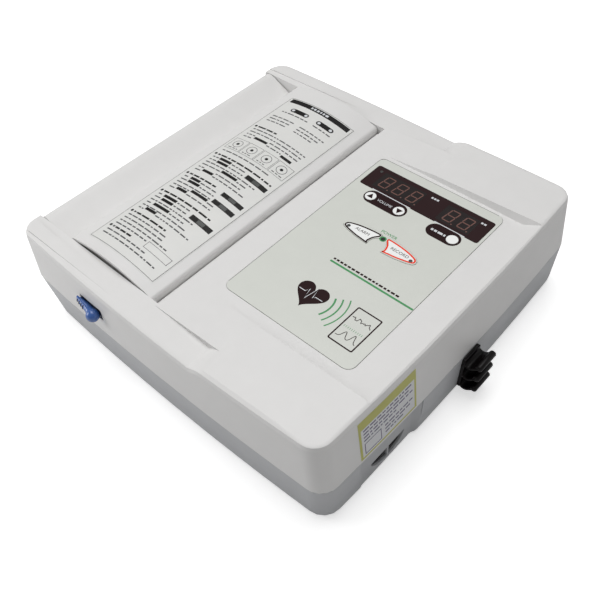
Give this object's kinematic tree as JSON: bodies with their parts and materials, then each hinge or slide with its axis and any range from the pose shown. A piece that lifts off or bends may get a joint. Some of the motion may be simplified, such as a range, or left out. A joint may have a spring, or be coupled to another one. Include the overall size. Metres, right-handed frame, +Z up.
{
  "type": "cardiotocograph",
  "caption": "Desktop fetal monitor: white housing on a grey base, hinged printer door over the chart paper, sloping keypad with a digit display, probe sockets and cable clip.",
  "frame": {"origin": "on the table, under the middle of the whole outline", "axes": "+X to the user's right, +Y to the back, +Z up"},
  "size_m": [0.3176, 0.3048, 0.0906],
  "materials": {
    "white_abs": "satin moulded",
    "grey_abs": "satin moulded",
    "black_nylon": "satin",
    "rubber": "matt",
    "steel": "plain",
    "aluminium": "extruded",
    "ceramic": "glazed",
    "film": "fine matt film",
    "smoked_window": "smoked clear",
    "digit_block": "satin",
    "board": "solder mask",
    "key_white": "satin",
    "blue_plastic": "gloss",
    "gear_nylon": "natural",
    "paper": "uncoated",
    "lamp": "clear tinted"
  },
  "bodies": {
    "housing": {"base_tray": "grey_abs", "board_screw_1": "steel", "board_screw_2": "steel", "board_screw_3": "steel", "board_screw_4": "steel", "cable_clip": "black_nylon", "case_screw_1": "steel", "case_screw_2": "steel", "case_screw_3": "steel", "case_screw_4": "steel", "clip_screw_1": "steel", "clip_screw_2": "steel", "data_port": "steel", "digits_rate": "digit_block", "digits_toco": "digit_block", "display_board": "board", "display_window": "smoked_window", "door_hinge_rod": "steel", "foot_1": "rubber", "foot_2": "rubber", "foot_3": "rubber", "foot_4": "rubber", "head_heat_sink": "aluminium", "head_spring_back": "steel", "head_spring_front": "steel", "idler_pin": "steel", "keypad_overlay": "film", "led_power": "lamp", "lever_spring": "steel", "main_board": "board", "paper_pack": "paper", "paper_tray": "grey_abs", "power_inlet": "black_nylon", "power_supply": "steel", "print_head": "ceramic", "printer_chassis": "steel", "probe_socket_1": "black_nylon", "probe_socket_2": "black_nylon", "speaker": "black_nylon", "stepper_motor": "steel", "switch_frame": "black_nylon", "top_cover": "white_abs"},
    "door": {"printer_door": "white_abs"},
    "platen": {"platen_core": "steel", "platen_rubber": "rubber", "platen_gear": "gear_nylon"},
    "idler": {"idler_gear": "gear_nylon"},
    "pinion": {"motor_pinion": "steel"},
    "lever": {"release_lever": "blue_plastic"},
    "rocker": {"power_rocker": "black_nylon"},
    "key_alarm": {"key_alarm": "key_white"},
    "key_record": {"key_record": "key_white"},
    "key_reference": {"key_reference": "key_white"},
    "key_volume_up": {"key_volume_up": "key_white"},
    "key_volume_down": {"key_volume_down": "key_white"}
  },
  "joints": [
    {"name": "door_lift", "type": "hinge", "parent": "housing", "child": "door", "pos_m": [-0.14751, 0.00193, 0.067], "axis": [0, -1, 0], "range_deg": [0, 90]},
    {"name": "platen_turn", "type": "hinge", "parent": "door", "child": "platen", "pos_m": [-0.03401, 0.00193, 0.067], "axis": [0, 1, 0], "continuous": true},
    {"name": "idler_turn", "type": "hinge", "parent": "housing", "child": "idler", "pos_m": [-0.03401, 0.00193, 0.0486], "axis": [0, 1, 0], "continuous": true},
    {"name": "pinion_turn", "type": "hinge", "parent": "housing", "child": "pinion", "pos_m": [-0.01523, 0.00193, 0.04461], "axis": [0, 1, 0], "continuous": true},
    {"name": "lever_turn", "type": "hinge", "parent": "housing", "child": "lever", "pos_m": [-0.07101, -0.139, 0.062], "axis": [-1, 0, 0], "range_deg": [0, 12], "stiffness_Nm_per_rad": 0.03, "springref_deg": -11.46},
    {"name": "power_rock", "type": "hinge", "parent": "housing", "child": "rocker", "pos_m": [0.06549, 0.14676, 0.022], "axis": [-0.9997, 0.0255, 0], "range_deg": [0, 18]},
    {"name": "alarm_press", "type": "slide", "parent": "housing", "child": "key_alarm", "axis": [-0.0164, 0, -0.9999], "range_m": [0, 0.0004], "stiffness_N_per_m": 600, "springref_m": -0.0004},
    {"name": "record_press", "type": "slide", "parent": "housing", "child": "key_record", "axis": [-0.0164, 0, -0.9999], "range_m": [0, 0.0004], "stiffness_N_per_m": 600, "springref_m": -0.0004},
    {"name": "reference_press", "type": "slide", "parent": "housing", "child": "key_reference", "axis": [-0.0164, 0, -0.9999], "range_m": [0, 0.0004], "stiffness_N_per_m": 600, "springref_m": -0.0004},
    {"name": "volume_up_press", "type": "slide", "parent": "housing", "child": "key_volume_up", "axis": [-0.0164, 0, -0.9999], "range_m": [0, 0.0004], "stiffness_N_per_m": 600, "springref_m": -0.0004},
    {"name": "volume_down_press", "type": "slide", "parent": "housing", "child": "key_volume_down", "axis": [-0.0164, 0, -0.9999], "range_m": [0, 0.0004], "stiffness_N_per_m": 600, "springref_m": -0.0004}
  ],
  "couplings": [
    {"joint": "idler_turn", "follows": "platen_turn", "ratio": -0.64286},
    {"joint": "pinion_turn", "follows": "platen_turn", "ratio": 0.9}
  ]
}
